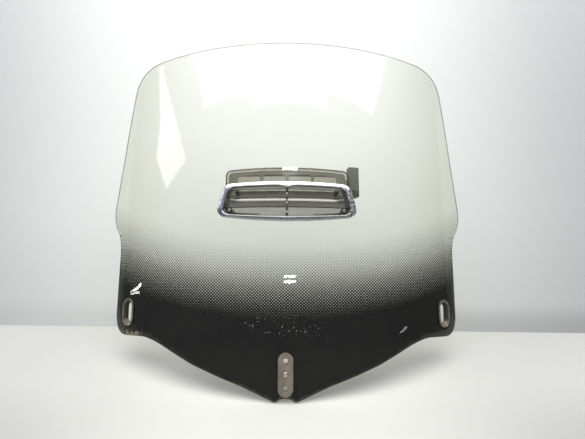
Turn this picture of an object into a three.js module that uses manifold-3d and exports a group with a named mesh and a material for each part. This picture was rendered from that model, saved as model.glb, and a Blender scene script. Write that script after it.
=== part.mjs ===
// Motorcycle windshield screen with a sliding air vent, leaning back as it stands.
// Millimetres. +X is to the right seen from the front, +Y towards the rider, +Z up.
// The sheet is bent, so places on it are given as u, the length across it from the middle, v, the
// length up it from its bottom tips, and n, the height off its front face, towards the front.
// Left and right are as seen from the front.
import * as THREE from "three";
import { mergeVertices } from "three/addons/utils/BufferGeometryUtils.js";
import Module from "manifold-3d";

const wasm = await Module();
wasm.setup();

// The bent sheet
const SHEET_THICKNESS = 5;
const BEND_RADIUS = 515; // across the sheet
const RAKE_AT_TIPS = THREE.MathUtils.degToRad(20.5); // back from upright
const RAKE_PER_MM = THREE.MathUtils.degToRad(7) / 690; // it leans further towards the top
const FOLD_STEP = 20; // bent pieces are flat between folds this far apart across the sheet
const LAST_FOLD = 400;
const UP_FOLDS = [0, 140, 280, 415, 530, 650]; // and between these lengths up it
const NEAR = 1e-3; // points closer than this are one point
const GAP = 0.3; // between pieces that touch
const LOOSE = 0.5; // between pieces that touch and don't share the sheet's bend

// Mounting slots and the centre plate
const SLOT_U = 313;
const SLOT_V = 138;
const SLOT = { width: 17, height: 36 };
const SLOT_MOUTH = { flare: 3.75, depth: 3.5 };
const GROMMET_RIM = { width: 34, height: 52, thickness: 1.7, bevel: 0.8 };
const GROMMET_SLEEVE = { width: 24, height: 43 };
const PLATE = { width: 25, height: 70, v: 43.8, thickness: 3, bevel: 0.8 };
const BOLT_HOLE = { diameter: 9, upperV: 65.5, lowerV: 21.8 };
const EYELET = { v: 44.3, flange: 8.2, tube: 4.6, bore: 3.3, lip: 0.8 };
const BRACKET_V = 54.7; // the bracket mount's point, on material between two holes

// The vent, from front to back
const BEZEL = { back: 1.6, front: 8.6, round: 3, ledge: 2.3, ledgeFront: 3 };
const OPENING_INSET = 2.1; // the sheet's opening, inside the bezel's inner edge
const GASKET = { thickness: 1, bezelInset: 1, coverWidth: 3 };
const GRILLE = { back: -5, flangeBack: 3.3, front: 4.6, flangeInset: 3.6, wallOuter: 2.6, wallInner: 4 };
const LOUVRES = [
  { frontV: 338.8, backV: 350.3, bead: 1.2 },
  { frontV: 321.8, backV: 335.6, bead: 1.6 },
];
const RIB = { width: 4, back: -3, front: 3.2, drop: 355 }; // up the middle, under the bezel's drop
const STUD = { diameter: 3.2, front: 4, levels: [345, 329, 313] };
const HOOK = { u: 60, width: 14, bottom: 352.6, stem: 355.1, top: 362, back: -7.2 };
const SCREW = { u: 101, v: 317.5, shank: 4, hole: 4.8, head: 7, boss: 10.4 };
const COVER = { front: -6.6, inside: -16.6, back: -18.6, wall: 2.4 };
const WINDOW = { bottom: 364, top: 382, corner: 3 };
const WINDOW_SPANS = [
  [-92.3, -50.5],
  [-44, -3],
  [3, 44],
  [50.5, 92.3],
];
const SHUTTER = { front: -14, back: -16, bottom: 357, legBottom: 340, legInner: 86, legOuter: 95 };
const SHUTTER_TRAVEL = 28; // down from the raised position modelled here
const ARM = { bottom: 359, top: 377, tip: 128 };
const KNOB = { u: 125, v: 373.5, width: 20, height: 55, front: -7.5, back: -22.5 };
const KNOB_STEP = 11; // the knob's lower end is half as wide over this height
const KNOB_SCREW = { u: 121, spread: 4.5, shank: 3, hole: 3.6, head: 5.4, headHole: 6 };
const SPRING = { u: 90.5, v: 346, width: 7, length: 16, foot: 3, thickness: 0.5 };
const SPRING_SEAT = { inner: 85, height: 18, front: -3 };

// ---- Places on the sheet ----

function rakeAt(v) {
  return RAKE_AT_TIPS + RAKE_PER_MM * v;
}

/** A place on the bent sheet in the standing frame, from the bottom tips. */
function onSheet(u, v, n) {
  const rake = rakeAt(v);
  const turn = u / BEND_RADIUS;
  const back = BEND_RADIUS * (1 - Math.cos(turn)) - n * Math.cos(turn);
  return new THREE.Vector3(
    (BEND_RADIUS + n) * Math.sin(turn),
    (Math.cos(RAKE_AT_TIPS) - Math.cos(rake)) / RAKE_PER_MM + back * Math.cos(rake),
    (Math.sin(rake) - Math.sin(RAKE_AT_TIPS)) / RAKE_PER_MM - back * Math.sin(rake),
  );
}

/** The same place on the folded sheet, which is flat between its folds. */
function onFolds(u, v, n) {
  const left = Math.floor(u / FOLD_STEP) * FOLD_STEP;
  const over = UP_FOLDS.findIndex((level) => level > v);
  const low = UP_FOLDS[Math.max(over, 1) - 1];
  const high = UP_FOLDS[Math.max(over, 1)];
  const alongLevel = (level) =>
    onSheet(left, level, n).lerp(onSheet(left + FOLD_STEP, level, n), (u - left) / FOLD_STEP);
  return alongLevel(low).lerp(alongLevel(high), (v - low) / (high - low));
}

/** The flat frame on the sheet's front face at u, v: x across it, y up it, z to the front. */
function frameAt(u, v) {
  const reach = FOLD_STEP / 2;
  const across = onFolds(u + reach, v, 0).sub(onFolds(u - reach, v, 0)).normalize();
  const rise = onFolds(u, v + reach, 0).sub(onFolds(u, v - reach, 0));
  const out = new THREE.Vector3().crossVectors(across, rise).normalize();
  const up = new THREE.Vector3().crossVectors(out, across);
  return new THREE.Matrix4().makeBasis(across, up, out).setPosition(onFolds(u, v, 0));
}

const PLATE_FRAME = frameAt(0, PLATE.v);
const BACKING_BACK = -SHEET_THICKNESS - LOOSE - PLATE.thickness;

/** The part's origin: the bracket's contact face, behind the centre plate. */
const ORIGIN = new THREE.Vector3(0, BRACKET_V - PLATE.v, BACKING_BACK).applyMatrix4(PLATE_FRAME);

// ---- Outlines in u and v ----

/** A closed outline from its right half, which runs from the bottom middle to the top middle. */
function mirrored(rightHalf, divisions) {
  const right = rightHalf.getPoints(divisions);
  const left = right.filter((p) => p.x > 1e-6).map((p) => new THREE.Vector2(-p.x, p.y));
  return [...right, ...left.reverse()];
}

/** A counter-clockwise outline moved inwards. */
function inset(outline, distance) {
  const count = outline.length;
  return outline.map((point, i) => {
    const along = point.clone().sub(outline[(i + count - 1) % count]).normalize();
    const next = outline[(i + 1) % count].clone().sub(point).normalize();
    const inward = new THREE.Vector2(-along.y - next.y, along.x + next.x).normalize();
    const share = along.x * inward.y - along.y * inward.x;
    return point.clone().addScaledVector(inward, distance / share);
  });
}

/** A round-ended bar between two points. */
function capsule(from, to, radius, toRadius = radius) {
  const angle = Math.atan2(to[1] - from[1], to[0] - from[0]);
  const path = new THREE.Path();
  path.absarc(to[0], to[1], toRadius, angle - Math.PI / 2, angle + Math.PI / 2);
  path.absarc(from[0], from[1], radius, angle + Math.PI / 2, angle + (3 * Math.PI) / 2);
  return path.getPoints(7);
}

/** An upright stadium of the given size round a middle. */
function stadium(width, height, u = 0, v = 0) {
  const reach = (height - width) / 2;
  return capsule([u, v - reach], [u, v + reach], width / 2);
}

function circle(diameter, u = 0, v = 0, segments = 12) {
  const path = new THREE.Path();
  path.absarc(u, v, diameter / 2, 0, 2 * Math.PI);
  return path.getPoints(segments).slice(0, -1);
}

function rectangle(left, bottom, right, top, corner = 0) {
  const path = new THREE.Path();
  path.moveTo(left + corner, bottom);
  path.lineTo(right - corner, bottom);
  path.quadraticCurveTo(right, bottom, right, bottom + corner);
  path.lineTo(right, top - corner);
  path.quadraticCurveTo(right, top, right - corner, top);
  path.lineTo(left + corner, top);
  path.quadraticCurveTo(left, top, left, top - corner);
  path.lineTo(left, bottom + corner);
  path.quadraticCurveTo(left, bottom, left + corner, bottom);
  return corner ? path.getPoints(3).slice(0, -1) : corners(left, bottom, right, top);
}

function corners(left, bottom, right, top) {
  return [
    [left, bottom],
    [right, bottom],
    [right, top],
    [left, top],
  ].map(([u, v]) => new THREE.Vector2(u, v));
}

/** The whole screen: bottom tips, ears, waist, widest point, shoulders. */
function screenOutline() {
  const half = new THREE.Path();
  half.moveTo(0, 5.5);
  half.quadraticCurveTo(9, 5.5, 12.5, 2);
  half.quadraticCurveTo(16, -1, 22, 1.3);
  half.lineTo(72, 22.8);
  half.lineTo(118, 38.5);
  half.lineTo(163, 55);
  half.lineTo(205, 74);
  half.quadraticCurveTo(248, 95, 275, 95.5);
  half.lineTo(317, 95);
  half.quadraticCurveTo(346, 96, 351, 128);
  half.lineTo(351, 250);
  half.quadraticCurveTo(352, 278, 363, 292);
  half.quadraticCurveTo(385, 312, 384.5, 341);
  half.lineTo(366, 442);
  half.lineTo(353.5, 530);
  half.lineTo(343, 592);
  half.quadraticCurveTo(334, 634, 280, 640.5);
  half.lineTo(0, 640.5);
  return mirrored(half, 5);
}

/** The bezel's outer edge: nearly straight on top, leaning out downwards, bowed below. */
function bezelOuter() {
  const half = new THREE.Path();
  half.moveTo(0, 296);
  half.quadraticCurveTo(52, 296.5, 104, 303.5);
  half.quadraticCurveTo(124, 306.5, 121.3, 322);
  half.lineTo(113.5, 352);
  half.quadraticCurveTo(110, 362.5, 97, 363.8);
  half.quadraticCurveTo(48, 366.3, 0, 366.4);
  return mirrored(half, 4);
}

/** The bezel's inner edge. */
function bezelInner() {
  const half = new THREE.Path();
  half.moveTo(0, 304.4);
  half.quadraticCurveTo(50, 304.8, 97, 308.4);
  half.quadraticCurveTo(112.5, 310, 109.8, 321);
  half.lineTo(102.5, 348);
  half.quadraticCurveTo(100, 356.3, 90, 357);
  half.quadraticCurveTo(45, 358.5, 0, 358.6);
  return mirrored(half, 4);
}

/** The cover on the rider's side, which reaches above the bezel. */
function coverOutline() {
  const half = new THREE.Path();
  half.moveTo(0, 303.5);
  half.quadraticCurveTo(60, 304.5, 96, 309);
  half.quadraticCurveTo(112, 311, 112, 325);
  half.lineTo(112, 382);
  half.quadraticCurveTo(112, 391, 102, 392.3);
  half.quadraticCurveTo(50, 395, 0, 395);
  return mirrored(half, 4);
}

// ---- Solids in u, v, n ----

/** A closed geometry as a solid that can be joined and cut. */
function solid(geometry) {
  const bare = geometry.clone();
  bare.deleteAttribute("normal");
  bare.deleteAttribute("uv");
  const merged = mergeVertices(bare, 1e-4);
  const mesh = new wasm.Mesh({
    numProp: 3,
    vertProperties: merged.attributes.position.array,
    triVerts: new Uint32Array(merged.index.array),
  });
  return new wasm.Manifold(mesh);
}

/** An outline, less its holes, from n = back to n = front. */
function prism(outline, back, front, holes = []) {
  const shape = new THREE.Shape(outline);
  shape.holes = holes.map((hole) => new THREE.Path(hole));
  const geometry = new THREE.ExtrudeGeometry(shape, { depth: front - back, bevelEnabled: false });
  return solid(geometry.translate(0, 0, back));
}

/** A prism whose edges are rounded or bevelled inside its outline. */
function softPrism(outline, back, front, bevel, segments) {
  const geometry = new THREE.ExtrudeGeometry(new THREE.Shape(outline), {
    depth: front - back - 2 * bevel,
    bevelThickness: bevel,
    bevelSize: bevel,
    bevelOffset: -bevel,
    bevelSegments: segments,
  });
  return solid(geometry.translate(0, 0, back + bevel));
}

/** What cuts a hole's mouth: the outline at n = front - depth, wider by flare from n = front on. */
function flaredMouth(outline, front, depth, flare) {
  const geometry = new THREE.ExtrudeGeometry(new THREE.Shape(outline), {
    depth: 1,
    bevelThickness: depth,
    bevelSize: flare,
    bevelSegments: 1,
  });
  return solid(geometry.translate(0, 0, front));
}

/** A profile in v and n, run across the sheet from u = left to u = right. */
function runAcross(profile, left, right) {
  const geometry = new THREE.ExtrudeGeometry(new THREE.Shape(profile), {
    depth: right - left,
    bevelEnabled: false,
  });
  const turn = new THREE.Matrix4().makeBasis(
    new THREE.Vector3(0, 1, 0),
    new THREE.Vector3(0, 0, 1),
    new THREE.Vector3(1, 0, 0),
  );
  return solid(geometry.applyMatrix4(turn).translate(left, 0, 0));
}

/** A round piece from a profile of [radius, n] that starts and ends on the axis or closes. */
function turned(profile, segments) {
  const points = profile.map(([radius, n]) => new THREE.Vector2(radius, n));
  return solid(new THREE.LatheGeometry(points, segments).rotateX(Math.PI / 2));
}

function joined(...solids) {
  return solids.reduce((all, one) => all.add(one));
}

// ---- Bending ----

/** Each triangle of a solid as three [u, v, n] points. */
function trianglesOf(shape) {
  const { vertProperties, triVerts, numProp } = shape.getMesh();
  const point = (i) => [...vertProperties.subarray(i * numProp, i * numProp + 3)];
  return Array.from({ length: triVerts.length / 3 }, (_, t) =>
    [0, 1, 2].map((corner) => point(triVerts[3 * t + corner])),
  );
}

/** Every fold, as the coordinate it crosses and its level. */
const FOLDS = [
  ...Array.from({ length: (2 * LAST_FOLD) / FOLD_STEP + 1 }, (_, i) => [0, i * FOLD_STEP - LAST_FOLD]),
  ...UP_FOLDS.map((level) => [1, level]),
];

function foldsAt(p) {
  return FOLDS.filter(([axis, level]) => Math.abs(p[axis] - level) < NEAR);
}

function distance(a, b) {
  return Math.hypot(a[0] - b[0], a[1] - b[1], a[2] - b[2]);
}

/** Is p between a and b, on the line that joins them? */
function liesBetween(p, a, b) {
  const detour = distance(a, p) + distance(p, b) - distance(a, b);
  return p !== a && p !== b && detour < NEAR * 0.01;
}

/** Gives each triangle edge on a fold the points that the cell beyond the fold has there. */
function stitched(triangles) {
  const onFold = new Map(FOLDS.map((fold) => [fold, []]));
  const sharedPoint = (p) => {
    const folds = foldsAt(p);
    if (!folds.length) return p;
    const known = onFold.get(folds[0]).find((other) => distance(other, p) < NEAR);
    if (!known) folds.forEach((fold) => onFold.get(fold).push(p));
    return known ?? p;
  };
  const stitch = (triangle) => {
    for (const i of [0, 1, 2]) {
      const [a, b, c] = [triangle[i], triangle[(i + 1) % 3], triangle[(i + 2) % 3]];
      const fold = foldsAt(a).find((one) => foldsAt(b).includes(one));
      const between = fold ? onFold.get(fold).filter((p) => liesBetween(p, a, b)) : [];
      if (!between.length) continue;
      const nearest = between.reduce((best, p) => (distance(a, p) < distance(a, best) ? p : best));
      return [...stitch([a, nearest, c]), ...stitch([nearest, b, c])];
    }
    return [triangle];
  };
  return triangles.map((triangle) => triangle.map(sharedPoint)).flatMap(stitch);
}

/** A solid's outer triangles, cut along every fold. */
function cutAlongFolds(shape) {
  const { min, max } = shape.boundingBox();
  const triangles = [];
  for (let left = Math.floor(min[0] / FOLD_STEP) * FOLD_STEP; left < max[0]; left += FOLD_STEP) {
    UP_FOLDS.slice(1).forEach((top, band) => {
      const bottom = UP_FOLDS[band];
      if (bottom > max[1] || top < min[1]) return;
      const sides = [
        [0, left],
        [0, left + FOLD_STEP],
        [1, bottom],
        [1, top],
      ];
      const box = corners(left, bottom, left + FOLD_STEP, top);
      const cell = trianglesOf(shape.intersect(prism(box, min[2] - 1, max[2] + 1)));
      const isInner = (triangle) =>
        sides.some(([axis, level]) => triangle.every((p) => Math.abs(p[axis] - level) < NEAR));
      triangles.push(...cell.filter((triangle) => !isInner(triangle)));
    });
  }
  return stitched(triangles);
}

/** A solid laid out in u, v, n, bent onto the sheet. */
function bent(shape) {
  const places = cutAlongFolds(shape)
    .flat()
    .map(([u, v, n]) => onFolds(u, v, n).sub(ORIGIN));
  return mergeVertices(new THREE.BufferGeometry().setFromPoints(places), NEAR);
}

/** A solid as it is, for a piece that stays flat. */
function flat(shape) {
  return new THREE.BufferGeometry().setFromPoints(
    trianglesOf(shape)
      .flat()
      .map((p) => new THREE.Vector3(...p)),
  );
}

// ---- Materials ----

function material(color, roughness, metalness = 0, opacity = 1) {
  return new THREE.MeshStandardMaterial({
    color,
    roughness,
    metalness,
    opacity,
    transparent: opacity < 1,
  });
}

const clearSheet = () => material(0xe3e4da, 0.08, 0, 0.35);
const smokedPlastic = () => material(0x8d8777, 0.25, 0, 0.7);
const chrome = () => material(0xd8dadc, 0.12, 1);
const paintedSteel = () => material(0x857b6a, 0.55, 0.3);
const zincSteel = () => material(0xb4b2aa, 0.35, 1);
const springSteel = () => material(0x6a6a66, 0.4, 1);
const oliveRubber = () => material(0x6b6250, 0.7);
const blackRubber = () => material(0x1c1c1b, 0.8);
const knobPlastic = () => material(0x5b605c, 0.6);

// ---- The screen and what it is fastened by ----

function screenSheet() {
  const slots = [-SLOT_U, SLOT_U].map((u) =>
    stadium(GROMMET_SLEEVE.width + 1.2, GROMMET_SLEEVE.height + 1.2, u, SLOT_V),
  );
  const holes = [
    inset(bezelInner(), OPENING_INSET),
    ...slots,
    circle(BOLT_HOLE.diameter + 1, 0, BOLT_HOLE.upperV),
    circle(BOLT_HOLE.diameter + 1, 0, BOLT_HOLE.lowerV),
    circle(EYELET.tube + 1, 0, EYELET.v),
  ];
  return bent(prism(screenOutline(), -SHEET_THICKNESS, 0, holes));
}

/** A one-piece oval grommet: rim, sleeve and back flange, with a flared slot. */
function slotGrommet() {
  const sleeve = stadium(GROMMET_SLEEVE.width, GROMMET_SLEEVE.height);
  const rim = stadium(GROMMET_RIM.width, GROMMET_RIM.height);
  const front = GAP + GROMMET_RIM.thickness;
  const behind = -SHEET_THICKNESS - LOOSE;
  const body = joined(
    softPrism(rim, -GROMMET_RIM.thickness, front, GROMMET_RIM.bevel, 1).intersect(
      prism(stadium(60, 80), GAP, front + 1),
    ),
    prism(sleeve, behind - 1, GAP + 1),
    prism(rim, behind - GROMMET_RIM.thickness, behind),
  );
  const slot = stadium(SLOT.width, SLOT.height);
  const mouth = flaredMouth(slot, front, SLOT_MOUTH.depth, SLOT_MOUTH.flare);
  return flat(body.subtract(mouth).subtract(prism(slot, behind - 5, front + 1)));
}

/** One of the two plates that clamp the sheet; the back one is sunk round the eyelet's lip. */
function stadiumPlate(back) {
  const front = back + PLATE.thickness;
  const blank = softPrism(stadium(PLATE.width, PLATE.height), back, front, PLATE.bevel, 1);
  const cuts = [
    circle(BOLT_HOLE.diameter, 0, BOLT_HOLE.upperV - PLATE.v),
    circle(BOLT_HOLE.diameter, 0, BOLT_HOLE.lowerV - PLATE.v),
    circle(EYELET.tube + 0.6, 0, EYELET.v - PLATE.v),
  ];
  return cuts.reduce((plate, hole) => plate.subtract(prism(hole, back - 1, front + 1)), blank);
}

function centrePlate() {
  return flat(stadiumPlate(LOOSE));
}

function backingPlate() {
  const sink = circle(EYELET.flange + 1, 0, EYELET.v - PLATE.v);
  const recess = prism(sink, BACKING_BACK - 1, BACKING_BACK + EYELET.lip + 2 * GAP);
  return flat(stadiumPlate(BACKING_BACK).subtract(recess));
}

/** A hollow rivet, flanged at both ends. */
function centreEyelet() {
  const front = LOOSE + PLATE.thickness + GAP;
  const back = BACKING_BACK + GAP + EYELET.lip;
  const profile = [
    [EYELET.bore / 2, back - EYELET.lip],
    [EYELET.flange / 2, back - EYELET.lip],
    [EYELET.flange / 2, back],
    [EYELET.tube / 2, back],
    [EYELET.tube / 2, front],
    [EYELET.flange / 2, front],
    [EYELET.flange / 2 - 0.5, front + EYELET.lip],
    [EYELET.bore / 2, front + EYELET.lip],
    [EYELET.bore / 2, back - EYELET.lip],
  ];
  return flat(turned(profile, 16));
}

// ---- The vent's fixed pieces ----

/** The chromed frame, with a ledge that the grille clamps and a notch-shaped drop over the rib. */
function ventBezel() {
  const inner = bezelInner();
  const block = softPrism(bezelOuter(), BEZEL.back - BEZEL.front, BEZEL.front, BEZEL.round, 2);
  const rounded = block
    .intersect(prism(rectangle(-150, 250, 150, 400), BEZEL.back, BEZEL.front + 1))
    .subtract(flaredMouth(inner, BEZEL.front, BEZEL.round, BEZEL.round - 1))
    .subtract(prism(inner, 0, BEZEL.front));
  const ledge = prism(inset(inner, -1.5), BEZEL.back, BEZEL.ledgeFront, [inset(inner, BEZEL.ledge)]);
  const drop = [
    [-9, RIB.drop + 6],
    [-4.5, RIB.drop],
    [4.5, RIB.drop],
    [9, RIB.drop + 6],
  ].map(([u, v]) => new THREE.Vector2(u, v));
  return bent(joined(rounded, ledge, prism(drop, GRILLE.front + GAP, BEZEL.front - 1)));
}

function bezelGasket() {
  const back = GAP;
  const hole = inset(bezelInner(), OPENING_INSET);
  const outer = inset(bezelOuter(), GASKET.bezelInset);
  return bent(prism(outer, back, back + GASKET.thickness, [hole]));
}

/** A louvre: its front edge hangs lower than its back edge, which can carry a thicker bead. */
function louvre({ frontV, backV, bead }) {
  const profile = capsule([frontV, 2.2], [backV, -4.4], 1.2, bead);
  return runAcross(profile, -112, 112);
}

/** The frame behind the bezel with two louvres, a centre rib, hooks, spring seats and bosses. */
function louvreGrille() {
  const edge = bezelInner();
  const rim = (outer, inner, back, front) =>
    prism(inset(edge, outer), back, front, [inset(edge, inner)]);
  const filled = prism(inset(edge, GRILLE.wallOuter), GRILLE.back, GRILLE.front);
  const rib = prism(rectangle(-RIB.width / 2, 300, RIB.width / 2, 362), RIB.back, RIB.front);
  const seats = [-1, 1].map((side) => {
    const middle = side * (SPRING_SEAT.inner + 15);
    const low = SPRING.v - SPRING_SEAT.height / 2;
    const box = rectangle(middle - 15, low, middle + 15, low + SPRING_SEAT.height);
    return prism(box, GRILLE.back, SPRING_SEAT.front);
  });
  const studs = STUD.levels.map((v) =>
    prism(circle(STUD.diameter, 0, v, 10), RIB.front - 0.5, STUD.front),
  );
  const hooks = [-HOOK.u, HOOK.u].flatMap((u) => {
    const [left, right] = [u - HOOK.width / 2, u + HOOK.width / 2];
    return [
      prism(rectangle(left, HOOK.bottom, right, HOOK.stem), HOOK.back, GRILLE.back + 1),
      prism(rectangle(left, HOOK.bottom, right, HOOK.top), HOOK.back, -SHEET_THICKNESS - LOOSE),
    ];
  });
  const bosses = [-SCREW.u, SCREW.u].map((u) =>
    prism(circle(SCREW.boss, u, SCREW.v), GRILLE.back, 2.4),
  );
  const body = joined(
    rim(OPENING_INSET - 1.6, GRILLE.flangeInset, GRILLE.flangeBack, GRILLE.front),
    rim(GRILLE.wallOuter, GRILLE.wallInner, GRILLE.back, GRILLE.front),
    joined(...LOUVRES.map(louvre), rib, ...seats).intersect(filled),
    ...studs,
    ...hooks,
    ...bosses,
  );
  const drills = [-SCREW.u, SCREW.u].flatMap((u) => [
    prism(circle(SCREW.hole, u, SCREW.v), GRILLE.back - 1, 3),
    prism(circle(SCREW.head + 1, u, SCREW.v), -0.5, 3),
  ]);
  return bent(drills.reduce((left, drill) => left.subtract(drill), body));
}

function coverGasket() {
  const front = -SHEET_THICKNESS - GAP;
  const outline = coverOutline();
  const hole = inset(outline, GASKET.coverWidth);
  return bent(prism(inset(outline, 0.2), front - GASKET.thickness, front, [hole]));
}

/** The shell on the rider's side: walls, a back with four windows, bosses and the arm's slot. */
function ventCover() {
  const outline = coverOutline();
  const windows = WINDOW_SPANS.map(([left, right]) =>
    rectangle(left, WINDOW.bottom, right, WINDOW.top, WINDOW.corner),
  );
  const bosses = [-SCREW.u, SCREW.u].map((u) =>
    prism(circle(SCREW.boss, u, SCREW.v), COVER.inside - 1, COVER.front),
  );
  const shell = joined(
    prism(outline, COVER.inside - 1, COVER.front, [inset(outline, COVER.wall)]),
    prism(outline, COVER.back, COVER.inside, windows),
    ...bosses,
  );
  const armSlot = rectangle(106, ARM.bottom - SHUTTER_TRAVEL - 0.6, 116, ARM.top + 0.6);
  const cuts = [
    prism(armSlot, COVER.inside, SHUTTER.front + 0.6),
    ...[-SCREW.u, SCREW.u].map((u) =>
      prism(circle(SCREW.hole, u, SCREW.v), COVER.back - 1, COVER.front + 1),
    ),
  ];
  return bent(cuts.reduce((left, cut) => left.subtract(cut), shell));
}

function ventScrew() {
  const radius = SCREW.shank / 2;
  const head = SCREW.head / 2;
  const profile = [
    [0, -23.6],
    [radius - 0.5, -23.6],
    [radius, -23],
    [radius, -0.2],
    [head, -0.2],
    [head, 1],
    [head - 1, 2],
    [1.3, 2],
    [1.3, 0.8],
    [0, 0.8],
  ];
  return flat(turned(profile, 12));
}

function ventNut() {
  const back = COVER.back - GAP - 3.2;
  return flat(prism(circle(8.1, 0, 0, 6), back, COVER.back - GAP, [circle(SCREW.hole, 0, 0)]));
}

/** A leaf spring: two feet on the grille's seat and an arch that bears on the shutter. */
function frictionSpring(side) {
  const { v, length, foot, thickness } = SPRING;
  const seat = GRILLE.back - LOOSE;
  const crown = SHUTTER.front + GAP + thickness;
  const arch = new THREE.Path();
  arch.moveTo(v - length / 2, seat);
  arch.lineTo(v - length / 2 + foot, seat);
  arch.quadraticCurveTo(v, 2 * crown - seat, v + length / 2 - foot, seat);
  arch.lineTo(v + length / 2, seat);
  const front = arch.getPoints(8);
  const back = front.map((p) => new THREE.Vector2(p.x, p.y - thickness)).reverse();
  const middle = side * SPRING.u;
  const strip = [...front, ...back].reverse();
  return bent(runAcross(strip, middle - SPRING.width / 2, middle + SPRING.width / 2));
}

// ---- The sliding pieces ----

/** The sliding plate: it closes the windows, and has two guide legs and the knob's arm. */
function shutterPlate() {
  const { front, back, bottom, legBottom, legInner, legOuter } = SHUTTER;
  const inside = inset(coverOutline(), COVER.wall + 0.8);
  const plate = prism(inside, back, front).intersect(
    prism(rectangle(-120, bottom, 120, 400), back - 1, front + 1),
  );
  const legs = [-1, 1].map((side) => {
    const span = [side * legInner, side * legOuter].sort((a, b) => a - b);
    return prism(rectangle(span[0], legBottom, span[1], bottom + 5), back, front);
  });
  const arm = prism(rectangle(104, ARM.bottom, ARM.tip, ARM.top), back, front);
  const holes = [-1, 1].map((side) =>
    prism(circle(KNOB_SCREW.hole, KNOB_SCREW.u, knobScrewV(side)), back - 1, front + 1),
  );
  return bent(holes.reduce((left, hole) => left.subtract(hole), joined(plate, ...legs, arm)));
}

function knobScrewV(side) {
  return (ARM.bottom + ARM.top) / 2 + side * KNOB_SCREW.spread;
}

/** The block the rider pushes: pocketed for the arm, drilled from behind for its screws. */
function shutterKnob() {
  const half = KNOB.width / 2;
  const tall = KNOB.height / 2;
  const outline = [
    [0, -tall],
    [half, -tall],
    [half, tall],
    [-half, tall],
    [-half, KNOB_STEP - tall],
    [0, KNOB_STEP - tall],
  ].map(([u, v]) => new THREE.Vector2(u, v));
  const pocket = rectangle(
    -half - 1,
    ARM.bottom - KNOB.v - 0.4,
    ARM.tip - KNOB.u + 0.8,
    ARM.top - KNOB.v + 0.4,
  );
  const cuts = [-1, 1].flatMap((side) => {
    const place = [KNOB_SCREW.u - KNOB.u, knobScrewV(side) - KNOB.v];
    return [
      prism(circle(KNOB_SCREW.hole, ...place), KNOB.back - 1, -9.6),
      prism(circle(KNOB_SCREW.headHole, ...place), KNOB.back - 1, KNOB.back + 2.4),
    ];
  });
  const block = softPrism(outline, KNOB.back, KNOB.front, 1, 1).subtract(
    prism(pocket, SHUTTER.back - 0.5, SHUTTER.front + 0.5),
  );
  return flat(cuts.reduce((left, cut) => left.subtract(cut), block));
}

function knobScrew() {
  const radius = KNOB_SCREW.shank / 2;
  const head = KNOB_SCREW.head / 2;
  const seat = KNOB.back + 2.1;
  const profile = [
    [0, seat - 0.7],
    [1, seat - 0.7],
    [1, seat - 1.8],
    [head - 0.6, seat - 1.8],
    [head, seat - 1.2],
    [head, seat],
    [radius, seat],
    [radius, -10.4],
    [0, -10],
  ];
  return flat(turned(profile, 12));
}

// ---- Assembly ----

const group = new THREE.Group();

/** Adds a piece whose geometry is already in the part's frame. */
function add(name, geometry, look) {
  const mesh = new THREE.Mesh(geometry, look);
  mesh.name = name;
  group.add(mesh);
  return mesh;
}

/** Adds a flat piece, seated on the sheet at u, v. */
function seat(name, geometry, look, u, v) {
  const mesh = add(name, geometry, look);
  mesh.applyMatrix4(frameAt(u, v));
  mesh.position.sub(ORIGIN);
}

add("screen", screenSheet(), clearSheet());
seat("centre_plate", centrePlate(), paintedSteel(), 0, PLATE.v);
seat("centre_backing_plate", backingPlate(), paintedSteel(), 0, PLATE.v);
seat("centre_eyelet", centreEyelet(), zincSteel(), 0, EYELET.v);
add("vent_bezel", ventBezel(), chrome());
add("bezel_gasket", bezelGasket(), blackRubber());
add("louvre_grille", louvreGrille(), smokedPlastic());
add("cover_gasket", coverGasket(), smokedPlastic());
add("vent_cover", ventCover(), smokedPlastic());
add("shutter", shutterPlate(), smokedPlastic());
seat("shutter_knob", shutterKnob(), knobPlastic(), KNOB.u, KNOB.v);
seat("knob_screw_lower", knobScrew(), zincSteel(), KNOB_SCREW.u, knobScrewV(-1));
seat("knob_screw_upper", knobScrew(), zincSteel(), KNOB_SCREW.u, knobScrewV(1));
for (const [word, side] of [
  ["left", -1],
  ["right", 1],
]) {
  seat(`slot_grommet_${word}`, slotGrommet(), oliveRubber(), side * SLOT_U, SLOT_V);
  seat(`vent_screw_${word}`, ventScrew(), zincSteel(), side * SCREW.u, SCREW.v);
  seat(`vent_nut_${word}`, ventNut(), zincSteel(), side * SCREW.u, SCREW.v);
  add(`friction_spring_${word}`, frictionSpring(side), springSteel());
}

export default group;
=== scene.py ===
"""Visual model of a motorcycle windshield screen with a sliding air vent, on a pale table.

Everything on the bent sheet is laid out in millimetres as u (across, from the middle), v (up, from the
bottom tips) and n (off the sheet's front face, towards the front), and is then bent into the CAD frame.
"""

import math
from functools import reduce

import bmesh
import bpy
import numpy as np
from mathutils import Matrix, Vector
from mathutils.geometry import delaunay_2d_cdt

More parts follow.
